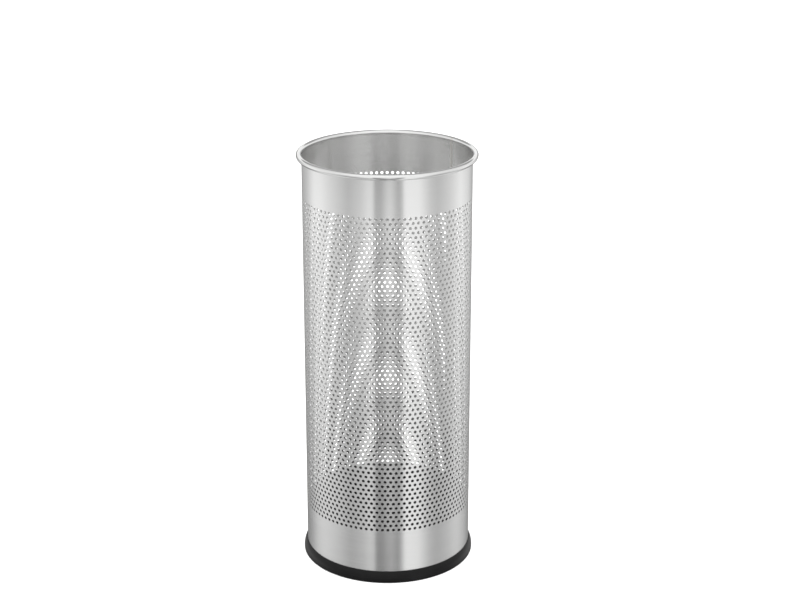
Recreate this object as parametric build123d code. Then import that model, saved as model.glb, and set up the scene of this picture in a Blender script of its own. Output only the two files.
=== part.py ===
from build123d import *
import os
from math import radians, tan

# Umbrella stand. Origin at the centre of its foot, on the floor; +Z up the tube's axis.
# All sizes in millimetres.

# overall
total_height = 620.0  # floor to the top of the rim
rim_diameter = 260.0  # across the rolled rim, the widest part

# tube, rolled from one sheet
sheet_thickness = 0.7
bead_diameter = 8.5  # rolled rim, curled outward from the tube's wall
curl_sweep = 320.0  # degrees of the curl, short of touching the wall again

# pressed bottom, welded into the tube's foot
plate_thickness = 0.8
plate_level = 12.0  # underside of the flat, above the floor
plate_bend_radius = 2.0  # outside of the bend into the flange
swage_radius = 86.0  # mid radius of the stiffening step in the flat
swage_width = 8.0
swage_depth = 2.5

# moulded foot ring, a channel that the tube's edge stands in
foot_overhang = 5.0  # how far the skirt stands out from the tube
foot_height = 17.0
foot_floor = 2.0  # below the tube's edge
foot_lip = 0.8  # thickness of the skirt's top edge
foot_upright = 5.0  # straight height of the skirt above the floor
foot_corner = 1.5
foot_groove_level = 4.2
foot_groove_radius = 0.5
foot_inner_height = 8.0
foot_inner_wall = 1.6
foot_clearance = 0.1  # between the channel and what stands in it

# drip tray, which lifts out through the mouth
tray_top_level = 71.0
tray_clearance = 1.0  # between the tray's lip and the tube
tray_wall = 1.8
tray_floor = 2.0
tray_lip_width = 2.5
tray_lip_thickness = 1.8
tray_draft = 1.5  # degrees
tray_corner = 6.0
tray_rib_spacing = 28.0
tray_rib_count = 3
tray_rib_width = 2.0
tray_rib_height = 1.2

rim_radius = rim_diameter / 2
bead_radius = bead_diameter / 2
tube_inner = rim_radius - bead_diameter
tube_outer = tube_inner + sheet_thickness
plate_top = plate_level + plate_thickness


def revolved(outline):
    """Turn a closed outline in the XZ plane once round the Z axis."""
    face = make_face(outline)
    return revolve(face, Axis.Z, 360)


def write(shape, node):
    """Write one sub-part to its own STEP file."""
    shape.label = node
    export_step(shape, f"parts/{node}.step")


def tube_shell():
    """The rolled sheet: a plain wall with an outward curl along its top edge."""
    curl_centre = (rim_radius - bead_radius, total_height - bead_radius)
    curl_inner = bead_radius - sheet_thickness
    with BuildLine(Plane.XZ) as outline:
        inside = Line((tube_inner, foot_floor), (tube_inner, curl_centre[1]))
        outer_curl = CenterArc(curl_centre, bead_radius, 180, -curl_sweep)
        inner_curl = CenterArc(curl_centre, curl_inner, 180, -curl_sweep)
        Line(outer_curl @ 1, inner_curl @ 1)
        outside = Line(inner_curl @ 0, (tube_outer, foot_floor))
        Line(outside @ 1, inside @ 0)
    return revolved(outline.line)


def base_plate():
    """The bottom: a flat with a pressed stiffening ring and a flange turned down."""
    bend = plate_bend_radius
    bend_inner = bend - plate_thickness
    flange_inner = tube_inner - plate_thickness
    swage_in = swage_radius - swage_width / 2
    swage_out = swage_radius + swage_width / 2
    slope = swage_depth
    upper = [
        (0, plate_top),
        (swage_in - slope, plate_top),
        (swage_in, plate_top - swage_depth),
        (swage_out, plate_top - swage_depth),
        (swage_out + slope, plate_top),
        (tube_inner - bend, plate_top),
    ]
    lower = [(x, z - plate_thickness) for x, z in upper]
    with BuildLine(Plane.XZ) as outline:
        Polyline(*upper)
        corner = CenterArc((tube_inner - bend, plate_top - bend), bend, 90, -90)
        flange = Polyline(
            corner @ 1,
            (tube_inner, foot_floor),
            (flange_inner, foot_floor),
            (flange_inner, plate_top - bend),
        )
        CenterArc((tube_inner - bend, plate_top - bend), bend_inner, 0, 90)
        Polyline(*reversed(lower))
        Line(lower[0], upper[0])
    return revolved(outline.line)


def foot_ring():
    """The moulded ring: a flared skirt outside, a lip inside and a floor below the tube."""
    skirt_top = tube_outer + foot_clearance
    skirt_foot = tube_outer + foot_overhang
    lip_outer = tube_inner - plate_thickness - foot_clearance
    lip_inner = lip_outer - foot_inner_wall
    flare_top = (skirt_top + foot_lip, foot_height)
    with BuildLine(Plane.XZ) as outline:
        Polyline(
            (lip_inner, 0),
            (skirt_foot - foot_corner, 0),
        )
        CenterArc((skirt_foot - foot_corner, foot_corner), foot_corner, -90, 90)
        upright = Line((skirt_foot, foot_corner), (skirt_foot, foot_upright))
        TangentArc(upright @ 1, flare_top, tangent=(0, 1))
        Polyline(
            flare_top,
            (skirt_top, foot_height),
            (skirt_top, foot_floor),
            (lip_outer, foot_floor),
            (lip_outer, foot_inner_height),
            (lip_inner, foot_inner_height),
            (lip_inner, 0),
        )
    ring = revolved(outline.line)
    groove = Pos(0, 0, foot_groove_level) * Torus(skirt_foot, foot_groove_radius)
    return ring - groove


def drip_tray():
    """The insert that catches the water: tapered sides, a turned-out lip, ringed floor."""
    height = tray_top_level - plate_top
    lip_outer = tube_inner - tray_clearance
    wall_top = lip_outer - tray_lip_width
    wall_foot = wall_top - height * tan(radians(tray_draft))
    with BuildLine(Plane.XZ) as outline:
        FilletPolyline(
            (0, plate_top),
            (wall_foot, plate_top),
            (wall_top, tray_top_level - tray_lip_thickness),
            radius=tray_corner,
        )
        Polyline(
            (wall_top, tray_top_level - tray_lip_thickness),
            (lip_outer, tray_top_level - tray_lip_thickness),
            (lip_outer, tray_top_level),
            (wall_top - tray_wall, tray_top_level),
        )
        FilletPolyline(
            (wall_top - tray_wall, tray_top_level),
            (wall_foot - tray_wall, plate_top + tray_floor),
            (0, plate_top + tray_floor),
            radius=tray_corner - tray_wall,
        )
        Line((0, plate_top + tray_floor), (0, plate_top))
    tray = revolved(outline.line)
    for number in range(1, tray_rib_count + 1):
        tray += floor_rib(number * tray_rib_spacing)
    return tray


def floor_rib(radius):
    """One low ring on the tray's floor, which keeps a ferrule out of the water."""
    low = plate_top + tray_floor / 2
    height = tray_floor / 2 + tray_rib_height
    outer = Cylinder(radius + tray_rib_width / 2, height, align=(Align.CENTER, Align.CENTER, Align.MIN))
    inner = Cylinder(radius - tray_rib_width / 2, height, align=(Align.CENTER, Align.CENTER, Align.MIN))
    return Pos(0, 0, low) * (outer - inner)


os.makedirs("parts", exist_ok=True)
write(tube_shell(), "perforated_shell")
write(base_plate(), "base_plate")
write(foot_ring(), "base_ring")
write(drip_tray(), "drip_tray")
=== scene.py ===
from math import cos, pi, radians, sin, sqrt, tan

import bmesh
import bpy
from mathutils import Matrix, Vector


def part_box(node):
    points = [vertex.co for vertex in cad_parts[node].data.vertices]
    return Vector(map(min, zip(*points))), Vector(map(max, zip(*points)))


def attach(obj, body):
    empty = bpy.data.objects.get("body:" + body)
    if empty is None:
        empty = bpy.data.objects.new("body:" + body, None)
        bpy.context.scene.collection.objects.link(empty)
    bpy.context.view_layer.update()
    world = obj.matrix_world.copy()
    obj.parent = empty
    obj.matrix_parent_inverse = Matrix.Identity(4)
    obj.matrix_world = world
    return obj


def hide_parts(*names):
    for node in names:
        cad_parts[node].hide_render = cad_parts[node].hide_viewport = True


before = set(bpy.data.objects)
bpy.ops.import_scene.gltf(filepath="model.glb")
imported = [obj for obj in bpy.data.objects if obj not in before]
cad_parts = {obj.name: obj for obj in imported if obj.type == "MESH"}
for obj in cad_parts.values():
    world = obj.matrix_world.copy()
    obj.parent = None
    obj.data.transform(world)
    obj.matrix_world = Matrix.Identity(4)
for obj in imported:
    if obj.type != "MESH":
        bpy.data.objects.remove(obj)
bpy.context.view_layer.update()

# ---------------------------------------------------------------- sizes, in metres

shell_low, shell_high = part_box("perforated_shell")
ring_low, ring_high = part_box("base_ring")
tray_low, tray_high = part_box("drip_tray")
plate_low, plate_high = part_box("base_plate")

rim_radius = shell_high.x
sheet = 0.0007
plate_sheet = 0.0008
bead_radius = 0.00425
tube_outer = rim_radius - 2 * bead_radius + sheet
tube_inner = tube_outer - sheet

# perforation: staggered round holes, laid out on the flat sheet
places_round = 96
pitch = 2 * pi * tube_outer / places_round
row_pitch = pitch * sqrt(3) / 2
hole_radius = 0.00225
hole_sides = 16
first_row = 0.084
columns_left_plain = 2  # at the seam
# lengths of tube from the lowest up: name, rows of holes, and the height that a plain foot
# below the holes reaches down to
tube_lengths = (
    ("tube_low", 24, shell_low.z),
    ("tube_middle", 24, None),
    ("tube_high", 21, None),
)

# rim, curled outward from the tube's wall
curl_centre = (rim_radius - bead_radius, 0, shell_high.z - bead_radius)
curl_sides = 36
curl_open = radians(40)  # left between the curl's end and the wall
curl_burnish = 0.4  # share of the sheet's roughness that the curling rolls leave

# seam of the rolled sheet, turned from the front towards the right
seam_turn = radians(129.74)
weld_half_width = 0.0008
weld_height = 0.00015
weld_tint = 0.2  # share of the heat's colour that is left after grinding
weld_tint_ends = (0.0012, 0.004)  # distances from the seam over which it fades
weld_grind = 0.15  # added to the sheet's roughness by the grinding

# groove round the foot ring's skirt
groove_level = 0.0042
groove_depth = 0.0005  # and half its height

# drip tray's floor rings
rib_count = 3
rib_spacing = 0.028
rib_width = 0.002
rib_height = 0.0012
rib_taper = 0.0003

# stiffening step pressed into the bottom
swage_radius = 0.086
swage_width = 0.008
swage_depth = 0.0025

round_steps = 2 * places_round
joined = 5e-6  # vertices closer than this are one
joined_in_outline = joined / 5  # the same, where rounded corners have short edges
smooth_below = radians(30)


# ---------------------------------------------------------------- handling pieces

def start_fresh():
    """Leave nothing selected before a new piece is added."""
    bpy.ops.object.select_all(action="DESELECT")


def take(piece):
    """Make the piece the only one selected, and the active one."""
    start_fresh()
    piece.select_set(True)
    bpy.context.view_layer.objects.active = piece


def edit():
    bpy.ops.object.mode_set(mode="EDIT")


def leave_edit():
    bpy.ops.object.mode_set(mode="OBJECT")


def choose(piece, wanted, kind="VERT"):
    """Select the vertices that pass the test, or the edges both of whose ends do."""
    bpy.ops.mesh.select_mode(type=kind)
    bpy.ops.mesh.select_all(action="DESELECT")
    mesh = bmesh.from_edit_mesh(piece.data)
    if kind == "VERT":
        for vertex in mesh.verts:
            vertex.select_set(wanted(vertex.co))
    else:
        for edge in mesh.edges:
            edge.select_set(all(wanted(end.co) for end in edge.verts))
    mesh.select_flush_mode()
    bmesh.update_edit_mesh(piece.data)


def merge_doubles(closer_than=joined):
    bpy.ops.mesh.select_all(action="SELECT")
    bpy.ops.mesh.remove_doubles(threshold=closer_than)


def settle(piece):
    """Put the piece's place in its mesh, with its object at the origin."""
    take(piece)
    bpy.ops.object.transform_apply(location=True, rotation=True, scale=True)


def apply_modifier(piece, kind, **settings):
    take(piece)
    modifier = piece.modifiers.new(kind.lower(), kind)
    for name, value in settings.items():
        setattr(modifier, name, value)
    bpy.ops.object.modifier_apply(modifier=modifier.name)


def smooth(piece):
    take(piece)
    bpy.ops.object.shade_smooth_by_angle(angle=smooth_below)


def face_outwards(piece):
    take(piece)
    edit()
    bpy.ops.mesh.select_all(action="SELECT")
    bpy.ops.mesh.normals_make_consistent(inside=False)
    leave_edit()


def copy_of(piece):
    other = piece.copy()
    other.data = piece.data.copy()
    bpy.context.collection.objects.link(other)
    return other


def repeat(piece, count, step):
    apply_modifier(
        piece,
        "ARRAY",
        count=count,
        use_relative_offset=False,
        use_constant_offset=True,
        constant_offset_displace=step,
        use_merge_vertices=True,
        merge_threshold=joined,
    )


def name_piece(piece, name, body, material, slot, *nodes):
    """Finish a piece: its name, its body, its material and the CAD node it stands for."""
    piece.name = name
    piece.data.name = name
    piece.data.materials.clear()
    piece.data.materials.append(material)
    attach(piece, body)
    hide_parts(*nodes)


# ---------------------------------------------------------------- the rolled sheet

def hole_cell():
    """One hole in its own share of the flat sheet, which faces -Y."""
    start_fresh()
    upright = (pi / 2, 0, 0)
    bpy.ops.mesh.primitive_grid_add(x_subdivisions=2, y_subdivisions=2, size=1, rotation=upright)
    cell = bpy.context.object
    cell.scale = (pitch, row_pitch, 1)
    settle(cell)
    edit()
    bpy.ops.mesh.select_all(action="SELECT")
    bpy.ops.mesh.delete(type="ONLY_FACE")
    choose(cell, lambda point: point.length < joined)
    bpy.ops.mesh.delete(type="VERT")
    bpy.ops.mesh.primitive_circle_add(
        vertices=hole_sides, radius=hole_radius, fill_type="NOTHING", rotation=upright
    )
    bpy.ops.mesh.select_all(action="SELECT")
    bpy.ops.mesh.bridge_edge_loops()
    leave_edit()
    return cell


def hole_row(cell, count, level):
    """A row of holes across the sheet, with plain margins drawn out to its two ends."""
    row = copy_of(cell)
    repeat(row, count, (pitch, 0, 0))
    row.location = (-(count - 1) * pitch / 2, 0, level)
    settle(row)
    edit()
    for side in (-1, 1):
        end = side * count * pitch / 2
        choose(row, lambda point: abs(point.x - end) < joined, "EDGE")
        for _ in range(places_round - count):
            bpy.ops.mesh.extrude_region_move(
                TRANSFORM_OT_translate={"value": (side * pitch / 2, 0, 0)}
            )
    leave_edit()
    return row


def perforated_sheet(cell, rows, low):
    """Flat perforated sheet of that many rows, from the height low upwards."""
    wide = hole_row(cell, places_round - columns_left_plain, row_pitch / 2)
    narrow = hole_row(cell, places_round - columns_left_plain - 1, row_pitch * 3 / 2)
    take(wide)
    narrow.select_set(True)
    bpy.ops.object.join()
    edit()
    merge_doubles()
    leave_edit()
    repeat(wide, (rows + 1) // 2, (0, 0, 2 * row_pitch))
    if rows % 2:
        edit()
        choose(wide, lambda point: point.z > rows * row_pitch + joined)
        bpy.ops.mesh.delete(type="VERT")
        leave_edit()
    wide.location.z = low
    settle(wide)
    return wide


def weld(tube):
    """Raise a low weld bead along the seam, at the back of an unturned tube."""

    def on_the_seam(point):
        return point.y > 0 and abs(point.x) < joined and point.z < curl_centre[2] + joined

    take(tube)
    edit()
    choose(tube, on_the_seam, "EDGE")
    bpy.ops.mesh.bevel(offset=weld_half_width, segments=2, affect="EDGES")
    choose(tube, on_the_seam)
    bpy.ops.transform.translate(value=(0, weld_height, 0))
    leave_edit()
    tube.rotation_euler.z = seam_turn - pi
    settle(tube)


def give_thickness(tube, side=-1):
    """Thicken the sheet on its inner side, or with side 1 on its outer side."""
    face_outwards(tube)
    apply_modifier(tube, "SOLIDIFY", thickness=sheet, offset=side, use_even_offset=True)
    smooth(tube)


def rolled(flat):
    """Roll the flat sheet into a tube round the Z axis, its ends meeting in the seam."""
    apply_modifier(flat, "SIMPLE_DEFORM", deform_method="BEND", deform_axis="Z", angle=2 * pi)
    flat.location.y = -tube_outer
    settle(flat)
    edit()
    merge_doubles()
    leave_edit()
    return flat


def perforated_tube(cell, rows, low, foot=None):
    """A rolled length of perforated tube; foot draws its lower edge down to that height."""
    tube = rolled(perforated_sheet(cell, rows, low))
    if foot is not None:
        edit()
        choose(tube, lambda point: point.z < low + joined, "EDGE")
        bpy.ops.mesh.extrude_region_move(TRANSFORM_OT_translate={"value": (0, 0, foot - low)})
        leave_edit()
    weld(tube)
    give_thickness(tube)
    return tube


def rim_band(low):
    """The plain band above the holes, its top edge curled outward into the rim."""
    curl_radius = bead_radius - sheet
    curl_end = curl_centre[2] - curl_radius * sin(curl_open)

    def in_the_gap(point):
        return point.x < curl_centre[0] and curl_end + joined < point.z < curl_centre[2] - joined

    start_fresh()
    bpy.ops.mesh.primitive_circle_add(
        vertices=curl_sides, radius=curl_radius, location=curl_centre, rotation=(pi / 2, 0, 0)
    )
    band = bpy.context.object
    settle(band)
    edit()
    choose(band, in_the_gap)
    bpy.ops.mesh.delete(type="VERT")
    choose(band, lambda point: point.x < curl_centre[0] - curl_radius + joined)
    bpy.ops.mesh.extrude_region_move(
        TRANSFORM_OT_translate={"value": (0, 0, low - curl_centre[2])}
    )
    bpy.ops.mesh.select_all(action="SELECT")
    bpy.ops.mesh.spin(steps=round_steps, angle=2 * pi, center=(0, 0, 0), axis=(0, 0, 1))
    merge_doubles()
    leave_edit()
    weld(band)
    give_thickness(band, side=1)
    return band


# ---------------------------------------------------------------- turned pieces

def outline_of(points):
    """A wire in the XZ plane, drawn out from one vertex to the next through (x, z) points."""
    start_fresh()
    bpy.ops.mesh.primitive_plane_add(size=0.001, location=(points[0][0], 0, points[0][1]))
    piece = bpy.context.object
    settle(piece)
    edit()
    bpy.ops.mesh.select_all(action="SELECT")
    bpy.ops.mesh.merge(type="CENTER")
    for (x, z), (next_x, next_z) in zip(points, points[1:]):
        bpy.ops.mesh.extrude_region_move(
            TRANSFORM_OT_translate={"value": (next_x - x, 0, next_z - z)}
        )
    leave_edit()
    return piece


def round_corner(piece, corner, reach, segments):
    """Round one corner of an outline, starting the given distance from it on both sides."""
    take(piece)
    edit()
    x, z = corner
    choose(piece, lambda point: abs(point.x - x) < joined and abs(point.z - z) < joined)
    bpy.ops.mesh.bevel(offset=reach, segments=segments, affect="VERTICES")
    leave_edit()


def turned(piece):
    """Spin a finished outline once round the Z axis into a closed piece."""
    take(piece)
    edit()
    merge_doubles(joined_in_outline)
    bpy.ops.mesh.select_all(action="SELECT")
    bpy.ops.mesh.spin(steps=round_steps, angle=2 * pi, center=(0, 0, 0), axis=(0, 0, 1))
    merge_doubles()
    leave_edit()
    face_outwards(piece)
    smooth(piece)
    return piece


def foot_ring():
    """The moulded ring: flared skirt, rounded foot, and a channel that holds the tube."""
    gap = 0.0001  # between the channel's walls and the steel
    lip_width = 0.0008
    inner_wall = 0.0016
    inner_top = 0.008
    straight = 0.005  # height of the skirt's upright part
    short_of_corner = 0.998  # keeps the flare's arc off the corners beside it
    skirt = ring_high.x
    lip = tube_outer + gap
    lip_edge = lip + lip_width
    channel_floor = shell_low.z
    inner_lip = tube_inner - plate_sheet - gap
    inner_face = inner_lip - inner_wall
    rise = ring_high.z - straight
    flare = skirt - lip_edge
    flare_reach = (flare**2 + rise**2) / (2 * rise)  # turns the upright part into the lip
    foot_corner = (skirt, ring_low.z)
    flare_corner = (skirt, straight + flare_reach)
    lip_corner = (lip_edge, ring_high.z)
    groove_bottom = (skirt - groove_depth, groove_level)
    ring = outline_of(
        [
            (inner_face, ring_low.z),
            foot_corner,
            (skirt, groove_level - groove_depth),
            groove_bottom,
            (skirt, groove_level + groove_depth),
            flare_corner,
            lip_corner,
            (lip, ring_high.z),
            (lip, channel_floor),
            (inner_lip, channel_floor),
            (inner_lip, inner_top),
            (inner_face, inner_top),
            (inner_face, ring_low.z),
        ]
    )
    round_corner(ring, foot_corner, reach=0.0015, segments=5)
    round_corner(ring, groove_bottom, reach=groove_depth * 0.9, segments=4)
    round_corner(ring, flare_corner, reach=flare_reach * short_of_corner, segments=16)
    round_corner(ring, lip_corner, reach=0.0003, segments=1)
    return turned(ring)


def drip_tray():
    """The loose insert: tapered sides, a turned-out lip, and low rings on its floor."""
    lip = tray_high.x
    wall = 0.0018
    lip_width = 0.0025
    lip_thickness = 0.0018
    floor_thickness = 0.002
    draft = radians(1.5)
    inside = tray_low.z + floor_thickness  # level of the floor's upper side
    wall_top = lip - lip_width
    wall_foot = wall_top - (tray_high.z - tray_low.z) * tan(draft)
    foot_corner = (wall_foot, tray_low.z)
    inner_corner = (wall_foot - wall, inside)
    lip_top = (lip, tray_high.z)
    lip_under = (lip, tray_high.z - lip_thickness)
    brim = (wall_top - wall, tray_high.z)
    points = [
        (0, tray_low.z),
        foot_corner,
        (wall_top, tray_high.z - lip_thickness),
        lip_under,
        lip_top,
        brim,
        inner_corner,
    ]
    rib_tops = []
    for number in range(rib_count, 0, -1):
        middle = number * rib_spacing
        tops = [
            (middle + rib_width / 2 - rib_taper, inside + rib_height),
            (middle - rib_width / 2 + rib_taper, inside + rib_height),
        ]
        rib_tops += tops
        points += [(middle + rib_width / 2, inside), *tops, (middle - rib_width / 2, inside)]
    points.append((0, inside))
    tray = outline_of(points)
    round_corner(tray, foot_corner, reach=0.0058, segments=6)
    round_corner(tray, inner_corner, reach=0.0041, segments=5)
    for corner in (lip_top, lip_under, brim):
        round_corner(tray, corner, reach=0.0005, segments=3)
    for corner in rib_tops:
        round_corner(tray, corner, reach=0.0003, segments=2)
    return turned(tray)


def base_plate():
    """The pressed bottom: a flat with a stiffening step, and a flange turned down."""
    top = plate_high.z
    rim = plate_high.x
    upper = [
        (0, top),
        (swage_radius - swage_width / 2 - swage_depth, top),
        (swage_radius - swage_width / 2, top - swage_depth),
        (swage_radius + swage_width / 2, top - swage_depth),
        (swage_radius + swage_width / 2 + swage_depth, top),
        (rim, top),
    ]
    under = [(x, z - plate_sheet) for x, z in upper[:-1]]
    bend_inside = (rim - plate_sheet, top - plate_sheet)
    flange = [(rim, plate_low.z), (rim - plate_sheet, plate_low.z), bend_inside]
    plate = outline_of([*upper, *flange, *reversed(under)])
    round_corner(plate, upper[-1], reach=0.002, segments=5)
    round_corner(plate, bend_inside, reach=0.0012, segments=4)
    for corner in (*upper[1:-1], *under[1:]):
        round_corner(plate, corner, reach=0.0008, segments=3)
    return turned(plate)


# ---------------------------------------------------------------- effects that materials share

def add_node(tree, kind, inputs=None, **settings):
    """Add a node. inputs gives its sockets a value, or another node's output to link from."""
    made = tree.nodes.new(kind)
    for name, value in settings.items():
        setattr(made, name, value)
    for socket, value in (inputs or {}).items():
        if isinstance(value, bpy.types.NodeSocket):
            tree.links.new(value, made.inputs[socket])
        else:
            made.inputs[socket].default_value = value
    return made


def math(tree, operation, first, second=0.0):
    return add_node(tree, "ShaderNodeMath", {0: first, 1: second}, operation=operation).outputs[0]


def spread(tree, value, low, high, to_low=0.0, to_high=1.0, shape="LINEAR"):
    """Carry the range low to high onto the range to_low to to_high, and stop at its ends."""
    limits = {"Value": value, 1: low, 2: high, 3: to_low, 4: to_high}
    return add_node(tree, "ShaderNodeMapRange", limits, interpolation_type=shape).outputs[0]


def blend_colours(tree, share, first, second, way="MIX"):
    """first where share is 0, second where it is 1, or with MULTIPLY their product."""
    colours = {0: share, 6: first, 7: second}
    return add_node(tree, "ShaderNodeMix", colours, data_type="RGBA", blend_type=way).outputs[2]


def new_group(name, inputs, output):
    """A node group with a Vector input, number inputs and one number output."""
    tree = bpy.data.node_groups.new(name, "ShaderNodeTree")
    tree.interface.new_socket("Vector", in_out="INPUT", socket_type="NodeSocketVector")
    for label, value in inputs.items():
        socket = tree.interface.new_socket(label, in_out="INPUT", socket_type="NodeSocketFloat")
        socket.default_value = value
    tree.interface.new_socket(output, in_out="OUTPUT", socket_type="NodeSocketFloat")
    return tree, tree.nodes.new("NodeGroupInput").outputs, tree.nodes.new("NodeGroupOutput").inputs


def brush_lines():
    """Scratches that run round the Z axis: Across lines to a metre up, Along to a metre round."""
    tree, given, result = new_group("brush_lines", {"Across": 2500, "Along": 12}, "Lines")
    stretch = add_node(
        tree,
        "ShaderNodeCombineXYZ",
        {"X": given["Along"], "Y": given["Along"], "Z": given["Across"]},
    )
    lines = add_node(
        tree,
        "ShaderNodeVectorMath",
        {0: given["Vector"], 1: stretch.outputs[0]},
        operation="MULTIPLY",
    )
    fine = add_node(
        tree,
        "ShaderNodeTexNoise",
        {"Vector": lines.outputs[0], "Scale": 1.0, "Detail": 2.0, "Roughness": 0.6},
    )
    broad = add_node(
        tree,
        "ShaderNodeTexNoise",
        {"Vector": lines.outputs[0], "Scale": 0.21, "Detail": 1.0},
    )
    broad_share = 0.5
    broad_part = math(tree, "MULTIPLY", broad.outputs[0], broad_share)
    both = math(tree, "ADD", fine.outputs[0], broad_part)
    tree.links.new(spread(tree, both, 0.5, 1.0), result["Lines"])
    return tree


def soft_patches():
    """Slow changes over a surface, such as dust, smears and handling leave."""
    tree, given, result = new_group("soft_patches", {"Size": 0.05, "Edge": 0.25}, "Patches")
    noise = add_node(
        tree,
        "ShaderNodeTexNoise",
        {
            "Vector": given["Vector"],
            "Scale": math(tree, "DIVIDE", 1.0, given["Size"]),
            "Detail": 3.0,
            "Distortion": 0.4,
        },
    )
    low = math(tree, "SUBTRACT", 0.5, given["Edge"])
    high = math(tree, "ADD", 0.5, given["Edge"])
    tree.links.new(spread(tree, noise.outputs[0], low, high), result["Patches"])
    return tree


def fine_grain():
    """The close grain of moulded plastic or of powder coat, from 0 in the pits to 1."""
    tree, given, result = new_group("fine_grain", {"Size": 0.0006, "Sharpness": 0.5}, "Grain")
    scale = math(tree, "DIVIDE", 1.0, given["Size"])
    cells = add_node(
        tree,
        "ShaderNodeTexVoronoi",
        {"Vector": given["Vector"], "Scale": scale},
        feature="SMOOTH_F1",
    )
    noise = add_node(
        tree,
        "ShaderNodeTexNoise",
        {"Vector": given["Vector"], "Scale": scale, "Detail": 2.0},
    )
    sharpness = given["Sharpness"]
    sharp = math(tree, "MULTIPLY", cells.outputs[0], sharpness)
    blunt = math(tree, "MULTIPLY", noise.outputs[0], math(tree, "SUBTRACT", 1.0, sharpness))
    tree.links.new(math(tree, "ADD", sharp, blunt), result["Grain"])
    return tree


def use_group(tree, group, place, **values):
    """Place a shared effect in a material with its own values, and return its output."""
    made = add_node(tree, "ShaderNodeGroup", node_tree=group)
    tree.links.new(place, made.inputs["Vector"])
    for name, value in values.items():
        made.inputs[name].default_value = value
    return made.outputs[0]


# ---------------------------------------------------------------- materials

def new_material(name, **constants):
    """A material, its tree, its shader with the given sockets set, and Object coordinates."""
    material = bpy.data.materials.new(name)
    material.use_nodes = True
    tree = material.node_tree
    shader = tree.nodes["Principled BSDF"]
    for socket, value in constants.items():
        shader.inputs[socket.replace("_", " ")].default_value = value
    return material, tree, shader, add_node(tree, "ShaderNodeTexCoord").outputs["Object"]


def feed(tree, shader, **outputs):
    """Link each named output to the shader's socket of that name."""
    for socket, output in outputs.items():
        tree.links.new(output, shader.inputs[socket.replace("_", " ")])


def bump(tree, height, depth):
    """The normal of a surface whose height changes by depth, in metres."""
    values = {"Height": height, "Distance": depth, "Strength": 1.0}
    return add_node(tree, "ShaderNodeBump", values).outputs[0]


def brushed_steel(lines_group, patches_group):
    """Stainless sheet brushed round the tube, tinted at the weld and burnished at the curl."""
    dark_line = (0.755, 0.755, 0.75, 1)
    bright_line = (0.79, 0.79, 0.785, 1)
    weld_colour = (0.55, 0.49, 0.40, 1)
    smear = 0.02  # added to the roughness where hands have been
    material, tree, shader, place = new_material(
        "brushed_steel", Metallic=1.0, Anisotropic=0.9, Anisotropic_Rotation=0.25
    )
    lines = use_group(tree, lines_group, place, Across=2600, Along=14)
    patches = use_group(tree, patches_group, place, Size=0.06, Edge=0.2)

    seam_place = (tube_outer * sin(seam_turn), -tube_outer * cos(seam_turn), 0)
    flat_place = add_node(
        tree, "ShaderNodeVectorMath", {0: place, 1: (1, 1, 0)}, operation="MULTIPLY"
    )
    from_seam = add_node(
        tree,
        "ShaderNodeVectorMath",
        {0: flat_place.outputs[0], 1: seam_place},
        operation="DISTANCE",
    ).outputs["Value"]
    heat = spread(tree, from_seam, *weld_tint_ends, weld_tint, 0.0, "SMOOTHSTEP")
    ground = spread(tree, from_seam, weld_half_width, 2 * weld_half_width, weld_grind, 0.0)

    clean = blend_colours(tree, lines, dark_line, bright_line)
    tinted = blend_colours(tree, heat, clean, weld_colour)
    smooth_part = spread(tree, lines, 0, 1, to_low=0.2, to_high=0.23)
    smeared = math(tree, "ADD", smooth_part, math(tree, "MULTIPLY", patches, smear))
    sheet_part = math(tree, "ADD", smeared, ground)
    height = add_node(tree, "ShaderNodeSeparateXYZ", {0: place}).outputs["Z"]
    curl_foot = curl_centre[2] - bead_radius
    burnish = spread(tree, height, curl_foot, curl_centre[2], 1.0, curl_burnish)
    roughness = math(tree, "MULTIPLY", sheet_part, burnish)
    around = add_node(tree, "ShaderNodeTangent", direction_type="RADIAL", axis="Z").outputs[0]
    feed(
        tree,
        shader,
        Base_Color=tinted,
        Roughness=roughness,
        Normal=bump(tree, lines, depth=5e-7),
        Tangent=around,
    )
    return material


def satin_plastic(grain_group, patches_group):
    """The foot ring's moulding: black, satin, with a trace of dust."""
    clean = (0.0025, 0.0025, 0.0027, 1)
    dusty = (0.005, 0.005, 0.0052, 1)
    dust = 0.05  # added to the roughness where it lies
    material, tree, shader, place = new_material("black_ring", Specular_IOR_Level=0.18)
    grain = use_group(tree, grain_group, place, Size=0.0007, Sharpness=0.4)
    patches = use_group(tree, patches_group, place, Size=0.02, Edge=0.22)
    colour = blend_colours(tree, patches, clean, dusty)
    satin = spread(tree, grain, 0, 1, to_low=0.26, to_high=0.31)
    roughness = math(tree, "ADD", satin, math(tree, "MULTIPLY", patches, dust))
    feed(
        tree,
        shader,
        Base_Color=colour,
        Roughness=roughness,
        Normal=bump(tree, grain, depth=0.00003),
    )
    return material


def grained_plastic(grain_group, patches_group):
    """The tray's moulding: black, matt, with the pale marks that dried water leaves."""
    plain = (0.024, 0.024, 0.025, 1)
    marked = (0.034, 0.034, 0.034, 1)
    material, tree, shader, place = new_material("black_tray", Specular_IOR_Level=0.5)
    grain = use_group(tree, grain_group, place, Size=0.0011, Sharpness=0.75)
    patches = use_group(tree, patches_group, place, Size=0.035, Edge=0.12)
    marks = math(tree, "MULTIPLY", patches, spread(tree, grain, 0, 1, to_low=0.5, to_high=1.0))
    feed(
        tree,
        shader,
        Base_Color=blend_colours(tree, marks, plain, marked),
        Roughness=spread(tree, patches, 0, 1, to_low=0.5, to_high=0.62),
        Normal=bump(tree, grain, depth=0.00008),
    )
    return material


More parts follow.
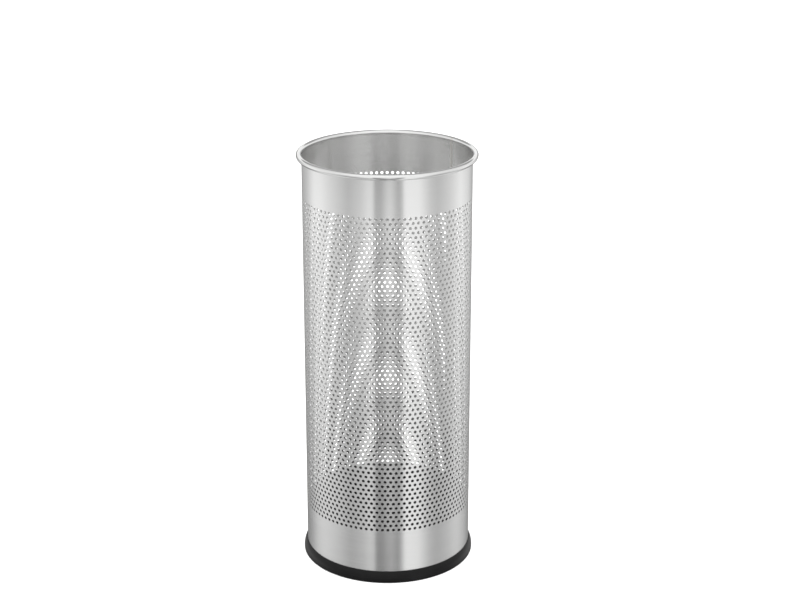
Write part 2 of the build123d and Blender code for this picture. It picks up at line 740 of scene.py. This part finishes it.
def powder_coat(grain_group, patches_group):
    """The bottom's finish: black powder coat with a slight orange peel."""
    fresh = (0.045, 0.045, 0.048, 1)
    worn = (0.065, 0.065, 0.068, 1)
    material, tree, shader, place = new_material("base_steel", Specular_IOR_Level=0.5)
    peel = use_group(tree, grain_group, place, Size=0.0018, Sharpness=0.15)
    patches = use_group(tree, patches_group, place, Size=0.04, Edge=0.25)
    feed(
        tree,
        shader,
        Base_Color=blend_colours(tree, patches, fresh, worn),
        Roughness=spread(tree, patches, 0, 1, to_low=0.38, to_high=0.48),
        Normal=bump(tree, peel, depth=0.00006),
    )
    return material


# ---------------------------------------------------------------- studio, floor and camera

# The studio as shiny things see it lies in bands, one above the other: a lit floor and a
# ring of screens below the horizon, windows just above it, a room that is bright in front
# and dark behind, and a soft light overhead.

# brightness of the screens, by degrees from the front towards the right
low_screens = (
    (-180, 0.27),
    (-160, 0.35),
    (-135, 0.62),
    (-115, 1.02),
    (-100, 1.06),
    (-75, 0.83),
    (-53, 0.63),
    (-35, 0.82),
    (-24, 1.04),
    (-18.5, 1.04),
    (-16.5, 0.60),
    (-8, 0.64),
    (0, 1.0),
    (4, 1.08),
    (8, 0.95),
    (15, 0.60),
    (20, 0.58),
    (23, 1.12),
    (44, 1.12),
    (60, 0.76),
    (71, 0.66),
    (90, 0.80),
    (116, 1.04),
    (140, 0.74),
    (156, 0.43),
    (180, 0.27),
)
# and of the room
room = (
    (-180, 0.3),
    (-140, 0.45),
    (-120, 0.85),
    (-82, 0.9),
    (-50, 1.1),
    (50, 1.1),
    (82, 0.9),
    (120, 0.85),
    (140, 0.45),
    (180, 0.3),
)
# share of the screens' brightness by the sine of the height: the lit floor, a dimmer gap,
# the screens at their full light, and their upper edge
low_light = (
    (-1.0, 0.8),
    (-0.85, 0.95),
    (-0.68, 1.22),
    (-0.54, 0.59),
    (-0.43, 0.61),
    (-0.24, 1.3),
    (-0.2, 1.25),
    (-0.08, 0.92),
    (1.0, 0.92),
)
# share of it left by the camera's stand and the shadows round it, by degrees again
past_stand = (
    (-180, 0.95),
    (-72, 0.86),
    (-60, 0.76),
    (-48, 0.70),
    (-27, 0.63),
    (-18, 0.46),
    (-16.5, 0.13),
    (-8, 0.08),
    (0, 0.0),
    (5, 0.0),
    (16.5, 0.2),
    (18, 0.85),
    (30, 1.03),
    (56, 0.94),
    (80, 0.73),
    (95, 0.76),
    (110, 0.9),
    (180, 0.95),
)
# sines of the heights between which one thing gives way to the next
stand_foot = (-0.86, -0.76)
stand_top = (-0.46, -0.37)
window_from = (0.09, 0.15)
room_from = (0.34, 0.42)
overhead_from = (0.95, 0.99)
window_light = 1.05
overhead_light = 1.3
matt_light = 1.4  # the same from everywhere, for matt surfaces

floor_size = 80
camera_place = (0.0168, -2.516, 1.2796)
camera_tilt = radians(19.4)  # down from level
camera_lens = 82.4  # millimetres


def grey(brightness):
    return (brightness, brightness, brightness, 1)


def ramp(tree, value, stops):
    """Straight lines between (position, brightness) stops."""
    made = add_node(tree, "ShaderNodeValToRGB", {0: value})
    elements = made.color_ramp.elements
    while len(elements) < len(stops):
        elements.new(0.5)
    # every place before any colour, because the stops are kept in the order of their places
    for element, (position, _) in zip(elements, stops):
        element.position = position
    for element, (_, brightness) in zip(elements, stops):
        element.color = grey(brightness)
    return made.outputs[0]


def by_turn(tree, turn, stops):
    """Brightness by (degrees, brightness) stops, where turn is in radians."""
    turn_share = spread(tree, turn, -pi, pi)
    return ramp(tree, turn_share, [(degrees / 360 + 0.5, light) for degrees, light in stops])


def by_height(tree, sine, stops):
    """Brightness by (sine of the height, brightness) stops."""
    height_share = spread(tree, sine, -1, 1)
    return ramp(tree, height_share, [(stop / 2 + 0.5, light) for stop, light in stops])


def studio():
    """Even light for matt surfaces, the bands told above for shiny ones, and white behind."""
    world = bpy.data.worlds.new("studio")
    bpy.context.scene.world = world
    world.use_nodes = True
    tree = world.node_tree
    tree.nodes.clear()
    towards = add_node(tree, "ShaderNodeTexCoord").outputs["Generated"]
    part = add_node(tree, "ShaderNodeSeparateXYZ", {0: towards}).outputs
    sine = part["Z"]
    turn = math(tree, "ARCTAN2", part["X"], math(tree, "MULTIPLY", part["Y"], -1.0))

    above_stand = spread(tree, sine, *stand_top, shape="SMOOTHSTEP")
    below_stand = spread(tree, sine, *stand_foot, 1.0, 0.0, "SMOOTHSTEP")
    clear_of_stand = math(tree, "MAXIMUM", above_stand, below_stand)
    left_over = blend_colours(tree, clear_of_stand, by_turn(tree, turn, past_stand), grey(1))
    screens = blend_colours(
        tree, 1.0, by_turn(tree, turn, low_screens), by_height(tree, sine, low_light), "MULTIPLY"
    )
    shaded = blend_colours(tree, 1.0, screens, left_over, "MULTIPLY")

    is_window = spread(tree, sine, *window_from, shape="SMOOTHSTEP")
    is_room = spread(tree, sine, *room_from, shape="SMOOTHSTEP")
    is_overhead = spread(tree, sine, *overhead_from, shape="SMOOTHSTEP")
    up_to_window = blend_colours(tree, is_window, shaded, grey(window_light))
    up_to_room = blend_colours(tree, is_room, up_to_window, by_turn(tree, turn, room))
    seen_in_gloss = blend_colours(tree, is_overhead, up_to_room, grey(overhead_light))

    ray = add_node(tree, "ShaderNodeLightPath").outputs
    plain = blend_colours(tree, ray["Is Camera Ray"], grey(matt_light), grey(1))
    light = blend_colours(tree, ray["Is Glossy Ray"], plain, seen_in_gloss)
    background = add_node(tree, "ShaderNodeBackground", {"Color": light})
    add_node(tree, "ShaderNodeOutputWorld", {"Surface": background.outputs[0]})
    bpy.context.scene.cycles.max_bounces = 16
    bpy.context.scene.cycles.glossy_bounces = 12


def floor():
    start_fresh()
    bpy.ops.mesh.primitive_plane_add(size=floor_size)
    plane = bpy.context.object
    plane.name = "floor"
    plane.visible_glossy = False  # the studio has its own floor for shiny things
    material, tree, shader, place = new_material(
        "pale_floor", Roughness=0.9, Emission_Color=grey(1), Emission_Strength=0.45
    )
    noise = add_node(tree, "ShaderNodeTexNoise", {"Vector": place, "Scale": 3.0})
    feed(tree, shader, Base_Color=blend_colours(tree, noise.outputs[0], grey(0.88), grey(0.9)))
    plane.data.materials.append(material)


def camera():
    start_fresh()
    turned_down = (radians(90) - camera_tilt, 0, 0)
    bpy.ops.object.camera_add(location=camera_place, rotation=turned_down)
    made = bpy.context.object
    made.data.lens = camera_lens
    made.data.sensor_width = 36
    made.data.clip_end = 200
    bpy.context.scene.camera = made


# ---------------------------------------------------------------- building it

def build():
    lines_group = brush_lines()
    patches_group = soft_patches()
    grain_group = fine_grain()
    steel = brushed_steel(lines_group, patches_group)

    cell = hole_cell()
    level = first_row - row_pitch / 2
    for name, rows, foot in tube_lengths:
        tube = perforated_tube(cell, rows, level, foot)
        name_piece(tube, name, "stand", steel, "brushed_steel", "perforated_shell")
        level += rows * row_pitch
    name_piece(rim_band(level), "rim", "stand", steel, "brushed_steel", "perforated_shell")
    bpy.data.objects.remove(cell)

    plastic = satin_plastic(grain_group, patches_group)
    name_piece(foot_ring(), "foot_ring", "stand", plastic, "black_ring", "base_ring")
    coat = powder_coat(grain_group, patches_group)
    name_piece(base_plate(), "bottom", "stand", coat, "base_steel", "base_plate")
    moulding = grained_plastic(grain_group, patches_group)
    name_piece(drip_tray(), "drip_insert", "tray", moulding, "black_tray", "drip_tray")


build()
studio()
floor()
camera()
bpy.context.scene.view_settings.view_transform = "Standard"
